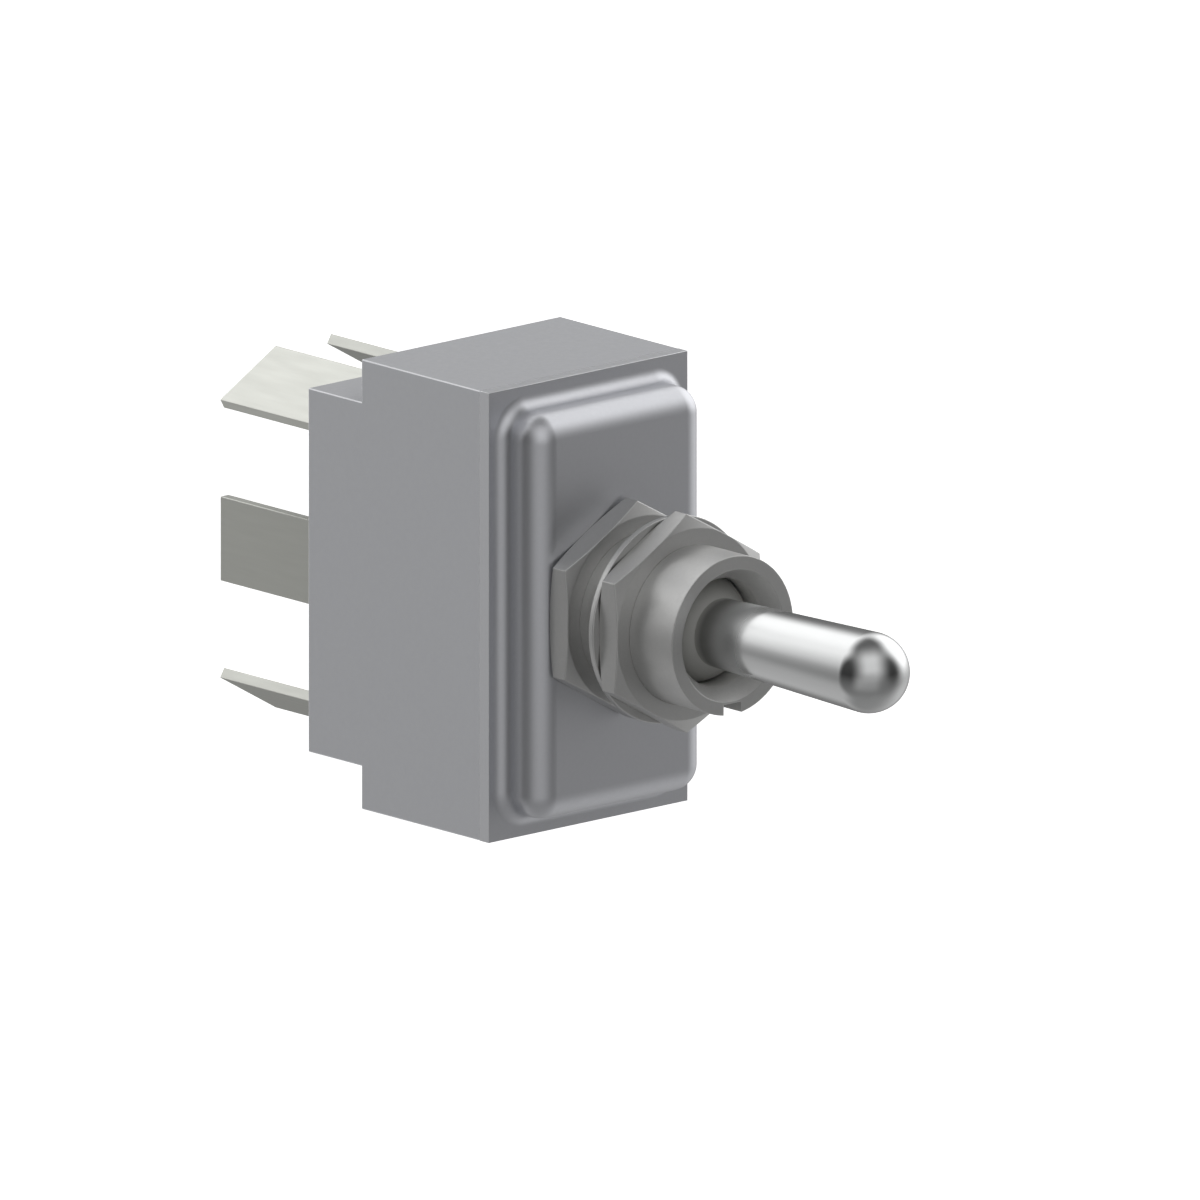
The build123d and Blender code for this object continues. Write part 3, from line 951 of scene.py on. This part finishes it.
pick(
    washer,
    "FACE",
    lambda low, high: Vector((low.x + high.x, low.z + high.z)).length / 2 < washer_root + slack
    and at(high.y - low.y, washer_thickness)
    and tooth_place((low + high) / 2) < 1,
)
pull(0, 0, 0)
shrink = washer_tooth_tip / washer_root
bpy.ops.transform.resize(value=(shrink, 1, shrink), center_override=mm(0, washer_back, 0))
pick(
    washer,
    "VERT",
    lambda low, high: Vector((low.x, low.z)).length < washer_tooth_tip + slack
    and tooth_place(low) < twisted_share,
)
bpy.ops.transform.translate(value=mm(0, tooth_twist, 0))
close_mesh()
break_edges(washer, washer_edge, angle=50)
fit(washer, "toothed_washer", "switch_body", ["lock_washer"], plated_brass)

# Camera.
# The photograph is an exact parallel projection from the front left, a little above.
azimuth = radians(-41.84)
elevation = radians(13.90)
view_width = 87.81
centre_right = 0.864
centre_up = -0.221
camera_distance = 300
back = Vector((sin(azimuth) * cos(elevation), -cos(azimuth) * cos(elevation), sin(elevation)))
right = Vector((cos(azimuth), sin(azimuth), 0))
up = back.cross(right)
middle = Vector((0, boss_rise, 0)) + right * centre_right + up * centre_up
camera_data = bpy.data.cameras.new("camera")
camera_data.type = "ORTHO"
camera_data.ortho_scale = view_width / 1000
camera_data.clip_end = 10
camera = bpy.data.objects.new("camera", camera_data)
bpy.context.scene.collection.objects.link(camera)
camera.location = (middle + back * camera_distance) / 1000
camera.rotation_euler = (-back).to_track_quat("-Z", "Y").to_euler()
bpy.context.scene.camera = camera

# Studio.
# A white sweep, a light tent that the metal mirrors, and soft lamps above and at the sides.
floor_depth = 0.45
floor_size = 4.0
paper_glow = 0.85
lamp_spread = 60
top_strength = 1.0
left_strength = 1.95
tent_radius = 0.4
# The tent's grey by height, from 0 straight below to 1 straight above.
tent_grey = [(0.0, 0.37), (0.15, 0.27), (0.33, 0.17), (0.5, 0.05), (0.75, 0.085), (1.0, 0.19)]
# Each soft box has its azimuth and elevation in degrees, half its width and height, the softness
# of its edge, and its strength.
soft_boxes = [
    (-32, 33, 0.49, 0.55, 0.36, 0.90),
    (90, 28, 0.45, 0.38, 0.34, 3.0),
    (190.5, 31, 0.54, 0.44, 0.24, 1.36),
    (84, -17, 0.45, 0.60, 0.37, 0.55),
    (201, -19, 0.41, 0.63, 0.21, 0.37),
    (-45, -20, 0.50, 0.30, 0.22, 0.21),
    (176, 50, 0.26, 0.26, 0.24, 0.34),
]
brightest = 1.75
box_fade = 0.1

scene = bpy.context.scene
scene.view_settings.view_transform = "Standard"
world = bpy.data.worlds.new("white studio")
scene.world = world
world.use_nodes = True
tree = world.node_tree
tree.nodes.clear()


def seen_by_eye(tree):
    """1 for what the camera sees, directly or in metal or glass, and 0 for the light on things."""
    rays = add_node(tree, "ShaderNodeLightPath", {}).outputs
    seen = rays["Is Camera Ray"]
    for other in (rays["Is Glossy Ray"], rays["Is Transmission Ray"]):
        either = add_node(
            tree, "ShaderNodeMath", {"operation": "MAXIMUM"}, [(0, seen), (1, other)]
        )
        seen = either.outputs[0]
    return seen


white = add_node(tree, "ShaderNodeBackground", {"Color": (1, 1, 1, 1), "Strength": 1.0})
dim = add_node(tree, "ShaderNodeBackground", {"Color": (1, 1, 1, 1), "Strength": 0.0})
both = add_node(
    tree,
    "ShaderNodeMixShader",
    {},
    [(0, seen_by_eye(tree)), (1, dim.outputs[0]), (2, white.outputs[0])],
)
add_node(tree, "ShaderNodeOutputWorld", {}, [("Surface", both.outputs[0])])

# White background paper is matt and even. It glows only for the eye, so it adds no light.
sweep = start(bpy.ops.mesh.primitive_plane_add, size=floor_size, location=(0, 0, -floor_depth))
sweep.name = "floor"
paper_white = hex_colour("e6e6e6")
paper, tree, shader = new_material("white paper sweep", Base_Color=paper_white, Roughness=0.9)
glow = add_node(tree, "ShaderNodeEmission", {"Color": (1, 1, 1, 1), "Strength": paper_glow})
lit = add_node(tree, "ShaderNodeAddShader", {}, [(0, shader.outputs[0]), (1, glow.outputs[0])])
mixed = add_node(
    tree,
    "ShaderNodeMixShader",
    {},
    [(0, seen_by_eye(tree)), (1, shader.outputs[0]), (2, lit.outputs[0])],
)
tree.links.new(mixed.outputs[0], tree.nodes["Material Output"].inputs["Surface"])
sweep.data.materials.append(paper)

# The tent is white cloth, lit from outside by the boxes. Only the metal mirrors it.
tent = start(bpy.ops.mesh.primitive_uv_sphere_add, segments=64, ring_count=32, radius=tent_radius)
tent.name = "light_tent"
tent.visible_camera = False
tent.visible_shadow = False
cloth, tree, shader = new_material("light tent")
tree.nodes.remove(shader)
place = add_node(tree, "ShaderNodeTexCoord", {}).outputs["Object"]
towards = add_node(tree, "ShaderNodeVectorMath", {"operation": "NORMALIZE"}, [(0, place)])
direction = towards.outputs[0]
height = add_node(tree, "ShaderNodeSeparateXYZ", {}, [(0, direction)]).outputs["Z"]
limits = {"From Min": -1.0, "From Max": 1.0}
level = add_node(tree, "ShaderNodeMapRange", limits, [("Value", height)]).outputs["Result"]
ramp = add_node(tree, "ShaderNodeValToRGB", {}, [(0, level)])
stops = ramp.color_ramp.elements
while len(stops) < len(tent_grey):
    stops.new(0.5)
for stop, (position, value) in zip(stops, tent_grey):
    stop.position = position
    stop.color = (value, value, value, 1)


def along(axis):
    """How far the tent's direction goes along an axis."""
    settings = {"operation": "DOT_PRODUCT", 1: tuple(axis)}
    return add_node(tree, "ShaderNodeVectorMath", settings, [(0, direction)]).outputs["Value"]


def inside(value, edge, half):
    """1 within half either way of the middle, and a soft fall to 0 round that edge."""
    limits = {"From Min": half - edge, "From Max": half + edge, "To Min": 1.0, "To Max": 0.0}
    limits["interpolation_type"] = "SMOOTHSTEP"
    size = add_node(tree, "ShaderNodeMath", {"operation": "ABSOLUTE"}, [(0, value)]).outputs[0]
    return add_node(tree, "ShaderNodeMapRange", limits, [("Value", size)]).outputs["Result"]


total = ramp.outputs["Color"]
for box_azimuth, box_elevation, half_width, half_height, edge, strength in soft_boxes:
    turn = radians(box_azimuth)
    rise = radians(box_elevation)
    box_across = Vector((cos(turn), sin(turn), 0))
    box_out = Vector((sin(turn) * cos(rise), -cos(turn) * cos(rise), sin(rise)))
    box_up = box_out.cross(box_across)
    front_half = add_node(
        tree,
        "ShaderNodeMapRange",
        {"From Min": 0.0, "From Max": box_fade, "To Min": 0.0, "To Max": strength},
        [("Value", along(box_out))],
    )
    light = front_half.outputs["Result"]
    for axis, half in ((box_across, half_width), (box_up, half_height)):
        span = inside(along(axis), edge, half)
        cropped = add_node(
            tree, "ShaderNodeMath", {"operation": "MULTIPLY"}, [(0, light), (1, span)]
        )
        light = cropped.outputs[0]
    summed = add_node(tree, "ShaderNodeMath", {"operation": "ADD"}, [(0, total), (1, light)])
    total = summed.outputs[0]
total = add_node(tree, "ShaderNodeMath", {"operation": "MINIMUM", 1: brightest}, [(0, total)])
emission = add_node(tree, "ShaderNodeEmission", {"Strength": 1.0}, [("Color", total.outputs[0])])
tree.links.new(emission.outputs[0], tree.nodes["Material Output"].inputs["Surface"])
tent.data.materials.append(cloth)


def lamp(name, direction, strength):
    """A very soft distant lamp that shines from that direction."""
    data = bpy.data.lights.new(name, "SUN")
    data.energy = strength
    data.angle = radians(lamp_spread)
    light = bpy.data.objects.new(name, data)
    scene.collection.objects.link(light)
    light.rotation_euler = Vector(direction).to_track_quat("Z", "Y").to_euler()
    light.visible_glossy = False


lamp("top_lamp", (0.1, -0.1, 1.0), top_strength)
lamp("left_lamp", (-1.0, 0.0, 0.1), left_strength)
